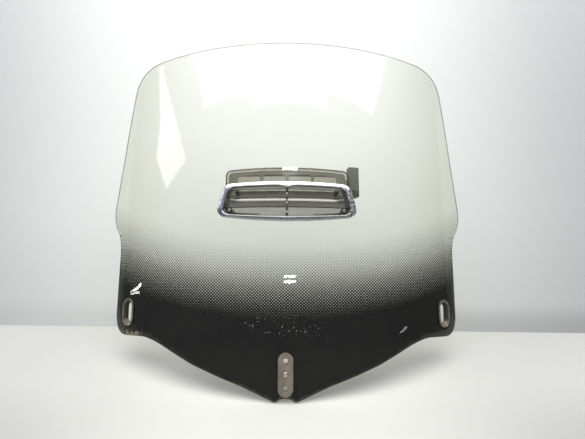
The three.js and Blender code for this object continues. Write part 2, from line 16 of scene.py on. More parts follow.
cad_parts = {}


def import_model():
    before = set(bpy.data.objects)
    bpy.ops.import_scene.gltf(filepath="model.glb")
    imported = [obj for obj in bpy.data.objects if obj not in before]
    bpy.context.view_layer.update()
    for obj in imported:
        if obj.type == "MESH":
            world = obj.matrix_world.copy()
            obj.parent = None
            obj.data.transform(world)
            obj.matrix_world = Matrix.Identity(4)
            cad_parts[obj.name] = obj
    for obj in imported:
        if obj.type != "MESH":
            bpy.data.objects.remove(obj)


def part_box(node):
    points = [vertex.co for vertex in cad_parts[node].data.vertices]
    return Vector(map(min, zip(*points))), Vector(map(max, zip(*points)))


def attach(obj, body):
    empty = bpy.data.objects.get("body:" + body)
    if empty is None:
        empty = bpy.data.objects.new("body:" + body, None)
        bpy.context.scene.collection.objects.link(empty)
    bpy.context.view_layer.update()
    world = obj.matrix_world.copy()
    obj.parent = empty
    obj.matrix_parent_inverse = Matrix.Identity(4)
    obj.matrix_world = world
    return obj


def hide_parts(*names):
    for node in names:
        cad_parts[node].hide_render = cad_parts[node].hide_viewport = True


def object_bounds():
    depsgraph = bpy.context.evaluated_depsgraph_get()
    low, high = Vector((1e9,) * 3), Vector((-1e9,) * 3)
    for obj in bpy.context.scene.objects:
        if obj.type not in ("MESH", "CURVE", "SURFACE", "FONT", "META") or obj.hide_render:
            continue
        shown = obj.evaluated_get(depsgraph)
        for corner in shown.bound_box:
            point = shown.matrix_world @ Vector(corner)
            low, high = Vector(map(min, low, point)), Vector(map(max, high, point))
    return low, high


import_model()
CAD_BOX = [list(corner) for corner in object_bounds()]

MM = 0.001
FIXED, SLIDING = "screen_assembly", "shutter"
WELD, FINE_WELD = 1e-3, 2e-4  # in millimetres: points closer than this become one
SLIVER = 0.1  # in square millimetres: a triangle under half this can't show whether it is inside

# The bent sheet
SHEET = 5.0
BEND_RADIUS = 515.0
RAKE_AT_TIPS = math.radians(20.5)
RAKE_PER_MM = math.radians(7.0) / 690.0

# Where things are on it
SLOT_U, SLOT_V = 313.0, 138.0
PLATE_V, BOLT_VS, EYELET_V = 43.8, (65.5, 21.8), 44.3
SCREW_U, SCREW_V, SCREW_HOLE, SCREW_BOSS = 101.0, 317.5, 4.8, 10.4
KNOB_U, KNOB_V = 125.0, 373.5
KNOB_SCREW_U, KNOB_SCREW_VS, KNOB_SCREW_HOLE = 121.0, (363.5, 372.5), 3.6
KNOB_FRONT, KNOB_BACK = -7.5, -22.5
LOUVRES = ((338.8, 350.3, 1.2), (321.8, 335.6, 1.6))  # front edge's v, back edge's v, back bead's radius
SLAT_FRONT, SLAT_BACK = 2.2, -4.4
GRILLE_FRONT, GRILLE_BACK = 4.6, -5.0
STUD_VS, HOOK_US = (345, 329, 313), (-60, 60)
WINDOW_SPANS = ((-92.3, -50.5), (-44.0, -3.0), (3.0, 44.0), (50.5, 92.3))
COVER_BACK, COVER_INSIDE, COVER_FRONT = -18.6, -16.6, -6.6
SHUTTER_FRONT, SHUTTER_BACK = -14.0, -16.0
PLATE_BACK, PLATE_THICK = -8.5, 3.0


# ---- Outlines in u and v ----

def curve(start, *steps, parts=10):
    """Points along a path; a step of two numbers ends a straight line, one of four pulls and ends a curve."""
    points = [start]
    for step in steps:
        x0, y0 = points[-1]
        if len(step) == 2:
            points.append(step)
            continue
        cx, cy, x1, y1 = step
        for i in range(1, parts + 1):
            t = i / parts
            a, b, c = (1 - t) ** 2, 2 * t * (1 - t), t * t
            points.append((a * x0 + b * cx + c * x1, a * y0 + b * cy + c * y1))
    return points


def mirrored(right):
    """A closed outline, counter-clockwise, from its right half, bottom middle to top middle."""
    return right + [(-x, y) for x, y in reversed(right) if x > 1e-6]


def resampled(outline, step):
    """The same closed outline with no edge longer than step."""
    points = []
    for (x0, y0), (x1, y1) in zip(outline, outline[1:] + outline[:1]):
        count = max(1, math.ceil(math.hypot(x1 - x0, y1 - y0) / step))
        points += [(x0 + (x1 - x0) * i / count, y0 + (y1 - y0) * i / count) for i in range(count)]
    return points


def inset(outline, distance):
    """The outline moved to its left by distance: inwards when it runs counter-clockwise."""
    if not distance:
        return outline
    moved = []
    for i, (x, y) in enumerate(outline):
        px, py = outline[i - 1]
        nx, ny = outline[(i + 1) % len(outline)]
        along, ahead = Vector((x - px, y - py)).normalized(), Vector((nx - x, ny - y)).normalized()
        inward = Vector((-along.y - ahead.y, along.x + ahead.x)).normalized()
        share = max(along.x * inward.y - along.y * inward.x, 0.3)
        moved.append((x + inward.x * distance / share, y + inward.y * distance / share))
    return moved


def bow(x, y, radius, start, sweep, parts):
    """A circle about x, y, from start through sweep (in degrees), in as many parts."""
    turns = [math.radians(start + sweep * i / parts) for i in range(parts + 1)]
    return [(x + radius * math.cos(turn), y + radius * math.sin(turn)) for turn in turns]


def circle(diameter, u=0.0, v=0.0, count=40):
    return bow(u, v, diameter / 2, 0, 360, count)[:-1]


def stadium(width, height, u=0.0, v=0.0, arc=16):
    top = bow(u, v + (height - width) / 2, width / 2, 0, 180, arc)
    return top + [(2 * u - x, 2 * v - y) for x, y in top]


def rectangle(left, bottom, right, top, corner=0.0):
    if not corner:
        return [(left, bottom), (right, bottom), (right, top), (left, top)]
    low, high = bottom + corner, top - corner
    middles = ((right - corner, low), (right - corner, high), (left + corner, high), (left + corner, low))
    return [point for quarter, middle in enumerate(middles)
            for point in bow(*middle, corner, 90 * quarter - 90, 90, 5)]


def screen_outline():
    return mirrored(curve(
        (0, 5.5), (9, 5.5, 12.5, 2), (16, -1, 22, 1.3), (72, 22.8), (118, 38.5), (163, 55), (205, 74),
        (248, 95, 275, 95.5), (317, 95), (346, 96, 351, 128), (351, 250), (352, 278, 363, 292),
        (385, 312, 384.5, 341), (366, 442), (353.5, 530), (343, 592), (334, 634, 280, 640.5), (0, 640.5)))


def bezel_outer(parts=10):
    return mirrored(curve(
        (0, 296), (52, 296.5, 104, 303.5), (124, 306.5, 121.3, 322), (117.4, 337, 113.5, 352),
        (110, 362.5, 97, 363.8), (48, 366.3, 0, 366.4), parts=parts))


def bezel_inner(parts=10):
    return mirrored(curve(
        (0, 304.4), (50, 304.8, 97, 308.4), (112.5, 310, 109.8, 321), (106.2, 334.5, 102.5, 348),
        (100, 356.3, 90, 357), (45, 358.5, 0, 358.6), parts=parts))


def cover_outline():
    return mirrored(curve(
        (0, 303.5), (60, 304.5, 96, 309), (112, 311, 112, 325), (112, 382), (112, 391, 102, 392.3),
        (50, 395, 0, 395)))


# ---- The bent sheet in the CAD frame ----

def raw_place(u, v, n):
    rake = RAKE_AT_TIPS + RAKE_PER_MM * v
    turn = u / BEND_RADIUS
    back = BEND_RADIUS * (1 - math.cos(turn)) - n * math.cos(turn)
    return Vector(((BEND_RADIUS + n) * math.sin(turn),
                   (math.cos(RAKE_AT_TIPS) - math.cos(rake)) / RAKE_PER_MM + back * math.cos(rake),
                   (math.sin(rake) - math.sin(RAKE_AT_TIPS)) / RAKE_PER_MM - back * math.sin(rake)))


def frame_origin():
    """The row's origin in the layout above, found by fitting the sheet to its CAD node's box."""
    low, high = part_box("screen")
    edge = [raw_place(u, v, 0) for u, v in screen_outline()]
    return Vector((0, min(p.y for p in edge) - low.y / MM, max(p.z for p in edge) - high.z / MM))


ORIGIN = frame_origin()


def place(u, v, n):
    return (raw_place(u, v, n) - ORIGIN) * MM


def frame_at(u, v):
    """The frame that touches the sheet's front face at u, v, for pieces laid out flat in millimetres."""
    across = (place(u + 5, v, 0) - place(u - 5, v, 0)).normalized()
    rise = place(u, v + 5, 0) - place(u, v - 5, 0)
    out = across.cross(rise).normalized()
    up = out.cross(across)
    middle = place(u, v, 0)
    rows = [[across[i] * MM, up[i] * MM, out[i] * MM, middle[i]] for i in range(3)]
    return Matrix(rows + [[0, 0, 0, 1]])


# ---- Solids in u, v, n ----

def inside(points, loops):
    """Which of the points lie inside the loops, by the even-odd rule."""
    points = np.array(points)
    hit = np.zeros(len(points), bool)
    for loop in loops:
        a = np.array(loop)
        b = np.roll(a, -1, axis=0)
        for (x0, y0), (x1, y1) in zip(a, b):
            crosses = (y0 > points[:, 1]) != (y1 > points[:, 1])
            if not crosses.any():
                continue
            at = x0 + (points[:, 1] - y0) * (x1 - x0) / (y1 - y0 if y1 != y0 else 1)
            hit ^= crosses & (points[:, 0] < at)
    return hit


def edges_of(face):
    return [tuple(sorted((face[i], face[i - 1]))) for i in range(3)]


def regions(faces, walls):
    """The triangles in groups, each of them closed in by walls."""
    sharing = {}
    for k, face in enumerate(faces):
        for edge in edges_of(face):
            sharing.setdefault(edge, []).append(k)
    found, seen = [], set()
    for start in range(len(faces)):
        if start in seen:
            continue
        seen.add(start)
        region = [start]
        for k in region:  # region grows while it is walked
            for edge in edges_of(faces[k]):
                if edge not in walls:
                    fresh = [other for other in sharing[edge] if other not in seen]
                    seen.update(fresh)
                    region += fresh
        found.append([faces[k] for k in region])
    return found


def cells(loops, size):
    """Points of a square grid that lie inside the loops and not too close to their corners."""
    across, up = [p[0] for p in loops[0]], [p[1] for p in loops[0]]
    spots = [(u, v) for u in np.arange(min(across) + size / 2, max(across), size)
             for v in np.arange(min(up) + size / 2, max(up), size)]
    edge = np.array([p for loop in loops for p in loop])
    return [spot for spot, kept in zip(spots, inside(spots, loops))
            if kept and np.min(np.hypot(*(edge - spot).T)) > size * 0.4]


def net(loops, grid):
    """Triangles that fill the loops: (points, triangles), all counter-clockwise."""
    points, edges = [], []
    for loop in loops:
        first = len(points)
        points += loop
        edges += [(first + i, first + (i + 1) % len(loop)) for i in range(len(loop))]
    if grid:
        points += cells(loops, grid)
    made, joins, faces, _, sources, _ = delaunay_2d_cdt([Vector(p) for p in points], edges, [], 0, 1e-6)
    walls = {tuple(sorted(join)) for join, source in zip(joins, sources) if source}

    def area(face):
        """Twice the triangle's area, below zero where it runs clockwise."""
        a, b, c = (made[i] for i in face)
        return (b.x - a.x) * (c.y - a.y) - (b.y - a.y) * (c.x - a.x)

    kept = []
    for region in regions(faces, walls):
        widest = max(region, key=lambda face: abs(area(face)))
        middle = sum((made[i] for i in widest), Vector((0, 0))) / 3
        if abs(area(widest)) > SLIVER and inside([tuple(middle)], loops)[0]:
            kept += region
    return made, [face if area(face) > 0 else face[::-1] for face in kept]


def rounding(radius, arc):
    """A rounded edge from face to wall, as (how far in, how far down) for each point."""
    if not radius:
        return [(0.0, 0.0)]
    turns = [math.pi / 2 * i / arc for i in range(arc + 1)]
    return [(radius * (1 - math.sin(turn)), radius * (1 - math.cos(turn))) for turn in turns]


def prism(outline, back, front, holes=(), edge=0.0, back_edge=None, grid=0.0, arc=3):
    """A plate as a bmesh laid out flat, with its edges rounded by edge; material 0 front, 1 back, 2 wall."""
    loops = [list(outline)] + [list(reversed(hole)) for hole in holes]
    rings = [(far_in, front - down) for far_in, down in rounding(edge, arc)]
    rings += [(far_in, back + down)
              for far_in, down in reversed(rounding(edge if back_edge is None else back_edge, arc))]
    bm = bmesh.new()
    for loop in loops:
        rows = [[bm.verts.new((x, y, n)) for x, y in inset(loop, far_in)] for far_in, n in rings]
        for upper, lower in zip(rows, rows[1:]):
            for i in range(len(loop)):
                j = (i + 1) % len(loop)
                face = bm.faces.new((upper[j], upper[i], lower[i], lower[j]))
                face.material_index = 2
    for (far_in, n), slot in ((rings[0], 0), (rings[-1], 1)):
        points, faces = net([inset(loop, far_in) for loop in loops], grid)
        corners = [bm.verts.new((p.x, p.y, n)) for p in points]
        for face in faces:
            made = bm.faces.new([corners[i] for i in (face if slot == 0 else reversed(face))])
            made.material_index = slot
    bmesh.ops.remove_doubles(bm, verts=bm.verts, dist=WELD)
    loose = [vert for vert in bm.verts if not vert.link_faces]
    bmesh.ops.delete(bm, geom=loose, context="VERTS")
    bmesh.ops.recalc_face_normals(bm, faces=bm.faces)
    return bm


def lofted(rings):
    """A tube closed on itself through rings of points, each ring with as many points, as a bmesh."""
    bm = bmesh.new()
    rows = [[bm.verts.new(point) for point in ring] for ring in rings]
    for a, b in zip(rows, rows[1:] + rows[:1]):
        for i in range(len(a)):
            j = (i + 1) % len(a)
            bm.faces.new((a[i], a[j], b[j], b[i]))
    bmesh.ops.recalc_face_normals(bm, faces=bm.faces)
    return bm


def extruded(profile, left, right):
    """A closed profile in v and n, run across from u = left to u = right."""
    bm = bmesh.new()
    ends = [[bm.verts.new((u, v, n)) for v, n in profile] for u in (left, right)]
    for i in range(len(profile)):
        j = (i + 1) % len(profile)
        bm.faces.new((ends[0][i], ends[0][j], ends[1][j], ends[1][i]))
    bm.faces.new(ends[0])
    bm.faces.new(list(reversed(ends[1])))
    bmesh.ops.recalc_face_normals(bm, faces=bm.faces)
    return bm


def turned(profile, count=40):
    """A round piece about n from a profile of (radius, n) that runs from axis to axis, or closes."""
    bm = bmesh.new()
    rows = []
    for radius, n in profile:
        if radius < 1e-6:
            rows.append([bm.verts.new((0, 0, n))])
            continue
        rows.append([bm.verts.new((x, y, n)) for x, y in circle(2 * radius, count=count)])
    pairs = list(zip(rows, rows[1:]))
    if len(rows[0]) > 1:
        pairs.append((rows[-1], rows[0]))
    for a, b in pairs:
        for i in range(count):
            j = (i + 1) % count
            quad = [a[i % len(a)], a[j % len(a)], b[j % len(b)], b[i % len(b)]]
            face = [vert for k, vert in enumerate(quad) if vert not in quad[:k]]
            if len(face) > 2:
                bm.faces.new(face)
    bmesh.ops.recalc_face_normals(bm, faces=bm.faces)
    return bm


def scene_object(name, data):
    made = bpy.data.objects.new(name, data)
    bpy.context.scene.collection.objects.link(made)
    return made


def mesh_object(name, bm):
    mesh = bpy.data.meshes.new(name)
    bm.to_mesh(mesh)
    bm.free()
    return scene_object(name, mesh)


def combined(name, base, *steps):
    """base after each (operation, solid, ...) in turn, as a new bmesh laid out flat."""
    target = mesh_object(name, base)
    tools = []
    for operation, *solids in steps:
        for solid in solids:
            tools.append(mesh_object(name + "_tool", solid))
            modifier = target.modifiers.new(operation, "BOOLEAN")
            modifier.operation, modifier.object, modifier.solver = operation, tools[-1], "MANIFOLD"
    bpy.context.view_layer.update()
    graph = bpy.context.evaluated_depsgraph_get()
    bm = bmesh.new()
    bm.from_mesh(target.evaluated_get(graph).to_mesh())
    for used in (*tools, target):
        mesh = used.data
        bpy.data.objects.remove(used)
        bpy.data.meshes.remove(mesh)
    bmesh.ops.remove_doubles(bm, verts=bm.verts, dist=FINE_WELD)
    return bm


def flattened(bm):
    """The solid with neighbouring faces that lie flat made one."""
    bmesh.ops.dissolve_limit(bm, angle_limit=math.radians(1), verts=bm.verts, edges=bm.edges)
    return bm


def softened(bm, width, segments=2, angle=35):
    """The solid with its sharp edges rounded."""
    flattened(bm)
    sharp = [e for e in bm.edges if len(e.link_faces) == 2 and e.calc_face_angle(0) > math.radians(angle)]
    bmesh.ops.bevel(bm, geom=sharp, offset=width, segments=segments, profile=0.5, affect="EDGES",
                    clamp_overlap=True)
    return bm


def finished(name, bm, body, node, looks, smooth):
    """Makes a piece: shaded, riding on its body, and standing for its CAD node."""
    made = mesh_object(name, bm)
    for look in looks:
        made.data.materials.append(look)
    made.data.shade_smooth()
    made.data.set_sharp_from_angle(angle=math.radians(smooth))
    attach(made, body)
    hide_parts(node)


def keep_layout(bm):
    """Notes each point's place in the flat layout, in metres, for the materials."""
    layer = bm.verts.layers.float_vector.new("layout")
    for vert in bm.verts:
        vert[layer] = vert.co * MM


def bent(name, bm, body, node, looks, step=None, smooth=35):
    """Bends a solid laid out in u, v, n onto the sheet, cut every step across and every 25 mm up."""
    if step:
        for axis, size in ((0, step), (1, 25)):
            spots = [vert.co[axis] for vert in bm.verts]
            normal = Vector((1 - axis, axis, 0))
            for k in range(math.ceil(min(spots) / size), math.floor(max(spots) / size) + 1):
                bmesh.ops.bisect_plane(bm, geom=bm.verts[:] + bm.edges[:] + bm.faces[:], dist=1e-4,
                                       plane_co=normal * k * size, plane_no=normal)
    keep_layout(bm)
    for vert in bm.verts:
        vert.co = place(*vert.co)
    bmesh.ops.triangulate(bm, faces=[face for face in bm.faces if len(face.verts) > 4])
    finished(name, bm, body, node, looks, smooth)


def seated(name, bm, body, node, looks, u, v, smooth=35):
    """Seats a solid laid out flat on the sheet at u, v."""
    keep_layout(bm)
    bm.transform(frame_at(u, v))
    finished(name, bm, body, node, looks, smooth)


# ---- Materials ----

PLASTIC_IOR = 1.49
SHEET_TINT = (0.984, 0.989, 0.962)
SHEET_HAZE = (0.78, 0.77, 0.72)
WHITE = (1, 1, 1)

# The print, in metres at the sheet's middle; each bow raises it by u squared
DOT_ACROSS, DOT_UP = 0.0056, 0.0052
PRINT_TOP, PRINT_TOP_BOW = 0.238, 0.66
PRINT_CLOSED, PRINT_CLOSED_BOW = 0.122, 0.50


class Nodes:
    """The nodes of a material or of the world, made one call at a time."""

    def __init__(self, owner):
        owner.use_nodes = True
        self.owner, self.tree = owner, owner.node_tree
        self.tree.nodes.clear()

    def make(self, kind, inputs=(), out=0, **settings):
        """A new node's output, by its place or name; colours are three numbers."""
        node = self.tree.nodes.new("ShaderNode" + kind)
        for key, value in settings.items():
            setattr(node, key, value)
        for key, value in dict(inputs).items():
            socket = node.inputs[key]
            if isinstance(value, bpy.types.NodeSocket):
                self.tree.links.new(value, socket)
            elif socket.type == "RGBA":
                socket.default_value = (*value, 1)
            else:
                socket.default_value = value
        return node.outputs[out] if node.outputs else None

    def math(self, operation, a, b=0.0, c=0.0, clamp=False):
        return self.make("Math", {0: a, 1: b, 2: c}, operation=operation, use_clamp=clamp)

    def times(self, *values):
        return reduce(lambda a, b: self.math("MULTIPLY", a, b), values)

    def most(self, *values):
        return reduce(lambda a, b: self.math("MAXIMUM", a, b), values)

    def minus(self, a, b):
        return self.math("SUBTRACT", a, b)

    def absolute(self, a):
        return self.math("ABSOLUTE", a)

    def above(self, a, limit):
        return self.math("GREATER_THAN", a, limit)

    def below(self, a, limit):
        return self.math("LESS_THAN", a, limit)

    def scaled(self, a, factor, start):
        """a times factor, added to start."""
        return self.math("MULTIPLY_ADD", a, factor, start)

    def distance(self, a, b):
        """How far apart two places are that differ by a and b."""
        return self.math("SQRT", self.math("ADD", self.times(a, a), self.times(b, b)))

    def mix(self, factor, a, b):
        """Two colours mixed."""
        return self.make("Mix", {"Factor": factor, 6: a, 7: b}, 2, data_type="RGBA")

    def layout(self):
        """Each point's place in its piece's own layout, in metres: u, v, n or x, y, z."""
        return self.make("Attribute", out="Vector", attribute_name="layout")

    def split(self, vector):
        """A vector's three numbers."""
        return self.make("SeparateXYZ", {"Vector": vector}, slice(3))

    def noise(self, vector, scale, detail=3.0, roughness=0.5, stretch=None):
        if stretch:
            vector = self.make("Mapping", {"Vector": vector, "Scale": stretch})
        inputs = {"Vector": vector, "Scale": scale, "Detail": detail, "Roughness": roughness}
        return self.make("TexNoise", inputs, "Fac")

    def ramp(self, factor, low, high, to_low=0.0, to_high=1.0):
        """A smooth step from to_low where factor is at low to to_high where it is at high."""
        inputs = {"Value": factor, "From Min": low, "From Max": high, "To Min": to_low, "To Max": to_high}
        return self.make("MapRange", inputs, interpolation_type="SMOOTHSTEP")

    def bump(self, height, strength, distance=0.0005):
        return self.make("Bump", {"Height": height, "Strength": strength, "Distance": distance})

    def from_behind(self):
        """1 where a face is seen from its back."""
        return self.make("NewGeometry", out="Backfacing")

    def clear(self, tint=WHITE):
        return self.make("BsdfTransparent", {"Color": tint})

    def principled(self, **inputs):
        names = {key.replace("_", " ").title().replace("Ior", "IOR"): value for key, value in inputs.items()}
        return self.make("BsdfPrincipled", names)

    def mix_shader(self, factor, a, b):
        return self.make("MixShader", {0: factor, 1: a, 2: b})

    def done(self, surface):
        self.make("OutputMaterial", {"Surface": surface})
        return self.owner


def material(name):
    return Nodes(bpy.data.materials.new(name))


def grey(level):
    return level, level, level


def scratches(look, vector, scale, along, spread):
    """Thin scattered lines, 0 to 1, stretched along one way."""
    fine = look.noise(vector, scale, 2.0, 0.6, stretch=along)
    return look.ramp(fine, spread, spread + 0.05)


def blotched(look, at, tone, blotch, scale, low, high, detail=3.0, roughness=0.5):
    """tone that turns to blotch where noise climbs from low to high."""
    return look.mix(look.ramp(look.noise(at, scale, detail, roughness), low, high), tone, blotch)


def see_through(look, tint, haze, haze_amount, roughness, normal=None, index=PLASTIC_IOR):
    """A clear skin: tinted see-through with a thin haze, mirroring more at a slant."""
    body = look.mix_shader(haze_amount, look.clear(tint), look.make("BsdfDiffuse", {"Color": haze}))
    lean = {"Normal": normal} if normal else {}
    gloss = look.make("BsdfGlossy", {"Color": WHITE, "Roughness": roughness, **lean})
    side_index = look.ramp(look.from_behind(), 0, 1, index, 1 / index)
    return look.mix_shader(look.make("Fresnel", {"IOR": side_index, **lean}), body, gloss)


def opaque(look, colour, roughness):
    """A covered skin that mirrors only on its outer side; from inside the sheet it is plain colour."""
    outer = look.principled(base_color=colour, roughness=roughness, specular_ior_level=0.3)
    inner = look.make("BsdfDiffuse", {"Color": colour})
    return look.mix_shader(look.from_behind(), outer, inner)


def print_mask(look, u, v):
    """1 where the black print is: dots that grow downwards from a bowed edge until they close up."""
    u_squared = look.times(u, u)
    top = look.scaled(u_squared, PRINT_TOP_BOW, PRINT_TOP)
    closed = look.scaled(u_squared, PRINT_CLOSED_BOW, PRINT_CLOSED)
    depth = look.math("DIVIDE", look.minus(top, v), look.minus(top, closed))
    across = look.math("COSINE", look.times(u, 2 * math.pi / DOT_ACROSS))
    along = look.math("COSINE", look.times(v, 2 * math.pi / DOT_UP))
    over = look.minus(look.times(across, along), look.scaled(depth, -1.88, 0.74))
    dots = look.math("MULTIPLY_ADD", over, 7.0, 0.5, clamp=True)
    even = look.ramp(depth, -0.34, 0.93)
    return look.math("MULTIPLY_ADD", look.minus(dots, even), 0.6, even)


def sheet_front():
    look = material("sheet_clear_front")
    at = look.layout()
    u, _, _ = look.split(at)
    hairs = look.most(scratches(look, at, 90, (1, 14, 1), 0.66), scratches(look, at, 70, (9, 2, 1), 0.68))
    dust = look.ramp(look.noise(at, 900, 2.0), 0.70, 0.76)
    haze = look.scaled(look.most(hairs, dust), 0.012, 0.006)
    wave = look.bump(look.noise(at, 9, 1.0), 0.004, 0.002)
    tint = look.mix(look.ramp(look.absolute(u), 0.17, 0.36), SHEET_TINT, (0.91, 0.91, 0.84))
    return look.done(see_through(look, tint, SHEET_HAZE, haze, 0.015, wave))


def sheet_back():
    """The printed side, with pinholes low in the print and worn paint by the left tip."""
    look = material("sheet_printed_back")
    at = look.layout()
    u, v, _ = look.split(at)
    side = look.absolute(u)
    band = look.times(look.ramp(v, 0.095, 0.108), look.ramp(v, 0.142, 0.130))
    pinholes = look.ramp(look.noise(at, 260, 2.0), 0.66, 0.72)
    pinholes = look.times(pinholes, look.ramp(side, 0.085, 0.055), band)
    mask = look.times(print_mask(look, u, v), look.minus(1.0, look.times(pinholes, 0.5)))
    low = look.ramp(look.noise(at, 30, 1.0, stretch=(4, 1, 1)), 0.3, 0.7, 0.093, 0.108)
    flakes = look.ramp(look.noise(at, 150, 4.0, 0.6, stretch=(1, 0.3, 1)), 0.38, 0.52)
    left_tip = look.times(look.ramp(side, 0.272, 0.300), look.below(u, 0.0))
    worn = look.times(look.below(v, low), left_tip, flakes)
    ink = blotched(look, at, (0.0110, 0.0120, 0.0122), grey(0.015), 14, 0.35, 0.7, 4.0)
    ink = look.mix(look.ramp(u, 0.05, 0.28), ink, grey(0.0085))
    # Painted reflection: the ink turns lighter near the bottom edge, standing in for the table mirrored in
    # the sheet.
    ink = look.mix(look.ramp(v, 0.11, 0.04), ink, (0.0185, 0.0180, 0.0170))
    ink = look.mix(look.times(worn, 0.8), ink, (0.42, 0.39, 0.31))
    clear = see_through(look, SHEET_TINT, SHEET_HAZE, 0.01, 0.02)
    return look.done(look.mix_shader(mask, clear, opaque(look, ink, 0.32)))


def sheet_edge():
    """The sawn edge, with a painted highlight that makes it lighter near the bottom. From inside the sheet it
    narrows to a line, and it is dark where there is print.
    """
    look = material("sheet_sawn_edge")
    at = look.layout()
    u, v, n = look.split(at)
    within = look.from_behind()
    printed = look.times(print_mask(look, u, v), within)
    grain = look.noise(at, 300, 3.0, stretch=(1, 1, 6))
    tone = look.mix(grain, (0.22, 0.21, 0.18), (0.36, 0.34, 0.30))
    # Painted highlight: a pale tone along the bottom edges.
    tone = look.mix(look.times(look.ramp(v, 0.16, 0.11), 0.8), tone, (0.66, 0.64, 0.55))
    tone = look.mix(look.times(printed, look.ramp(n, -0.0006, -0.0012)), tone, grey(0.012))
    line = look.ramp(n, -0.0030, -0.0022)
    shown = look.most(look.times(look.most(line, look.minus(1.0, within)), 0.8), printed)
    return look.done(look.mix_shader(shown, look.clear((0.96, 0.96, 0.93)), opaque(look, tone, 0.35)))


def smoked(name, tint, haze=0.10, roughness=0.12, index=PLASTIC_IOR, thin=None, marks=None):
    """Smoked clear plastic; thin masks paler parts, marks gives (mask, colour, glow) for opaque lines."""
    look = material(name)
    at = look.layout()
    pale = thin(look, at) if thin else 0.0
    tint = look.mix(pale, tint, (0.99, 0.99, 0.98))
    grime = look.ramp(look.noise(at, 35, 5.0, 0.65, stretch=(1, 3, 1)), 0.5, 0.75)
    amount = look.times(look.scaled(grime, 0.10, haze), look.scaled(pale, -0.92, 1.0))
    shade = look.mix(look.noise(at, 60), (0.16, 0.15, 0.12), (0.26, 0.245, 0.20))
    bump = look.bump(look.noise(at, 220, 2.0), 0.05, 0.0004)
    skin = see_through(look, tint, shade, amount, roughness, bump, index)
    for mask, colour, glow in marks(look, at) if marks else ():
        # A mark's glow is painted light: the mark shines though it is no lamp.
        solid = look.principled(base_color=colour, roughness=0.3, emission_color=WHITE,
                                emission_strength=glow)
        skin = look.mix_shader(mask, skin, solid)
    return look.done(skin)


def close_to(look, a, b, reach):
    """1 up to reach (in millimetres) from a place that is a and b away."""
    soft = 0.2
    return look.ramp(look.distance(a, b), (reach + soft) * MM, (reach - soft) * MM)


def grille_thin(look, at):
    """The grille's rim above and below the slats, its hooks and its spring seats."""
    u, v, n = look.split(at)
    side = look.absolute(u)
    rim = look.times(look.most(look.above(v, 0.3525), look.below(v, 0.3095)), look.below(side, 0.1))
    seat = look.times(look.below(n, -0.0029), look.above(v, 0.3368), look.above(side, 0.0835))
    return look.most(rim, seat)


def grille_marks(look, at):
    """Painted shade on the slat edges, a painted glow along the lower slat's back edge, painted light on the
    rim's top band, dark screw seats, a dark rib and painted highlights on the rib's studs.
    """
    u, v, n = look.split(at)
    side = look.absolute(u)

    def line(line_v, line_n, reach):
        return close_to(look, look.minus(v, line_v * MM), look.minus(n, line_n * MM), reach)

    def spots(spot_u, spot_v, reach):
        return close_to(look, look.minus(side, spot_u * MM), look.minus(v, spot_v * MM), reach)

    (upper_front, upper_back, _), (lower_front, lower_back, bead) = LOUVRES
    # Painted shade: dark lines along both slats' front edges and, faintly, the upper slat's back edge.
    dark = look.most(line(upper_front, SLAT_FRONT, 1.9), line(lower_front, SLAT_FRONT, 1.9),
                     look.times(line(upper_back, SLAT_BACK, 1.9), 0.25))
    open_part = look.ramp(side, 0.098, 0.080)
    # Painted glow: a bright line along the lower slat's back edge that shines though it is no lamp.
    painted_glow = look.times(line(lower_back, SLAT_BACK, bead + 0.5), open_part)
    # Painted highlights: pale spots on the fronts of the rib's studs.
    painted_stud_highlights = look.times(look.most(*(spots(0, stud_v, 1.7) for stud_v in STUD_VS)), look.above(n, 0.0025))
    rib = look.below(side, 0.0022)
    # Painted light: a pale beige band over the grille's upper rim, where light through the vent is painted
    # in.
    rim = look.times(look.ramp(v, 0.3520, 0.3535), open_part)
    return [(look.times(rim, 0.5), (0.62, 0.59, 0.52), 0.0), (look.times(rib, 0.6), grey(0.04), 0.0),
            (look.times(dark, 0.85), (0.03, 0.03, 0.025), 0.0), (painted_glow, (0.95, 0.95, 0.93), 0.45),
            (spots(SCREW_U, SCREW_V, 5.4), grey(0.025), 0.0), (painted_stud_highlights, grey(0.62), 0.0)]


def cover_thin(look, at):
    """The cover's walls, which are thinner than its window plate."""
    _, _, n = look.split(at)
    return look.times(look.ramp(n, -0.0166, -0.0158), 0.6)


def cover_marks(look, at):
    """The dark upper edges of the cover's windows."""
    u, v, _ = look.split(at)
    side = look.absolute(u)
    inner = look.times(look.ramp(side, 0.0022, 0.0040), look.ramp(side, 0.0448, 0.0430))
    outer = look.times(look.ramp(side, 0.0498, 0.0516), look.ramp(side, 0.088, 0.058))
    line = look.ramp(look.absolute(look.minus(v, 0.3832)), 0.0021, 0.0014)
    return [(look.times(line, look.most(inner, look.times(outer, 0.7)), 0.95), grey(0.010), 0.0)]


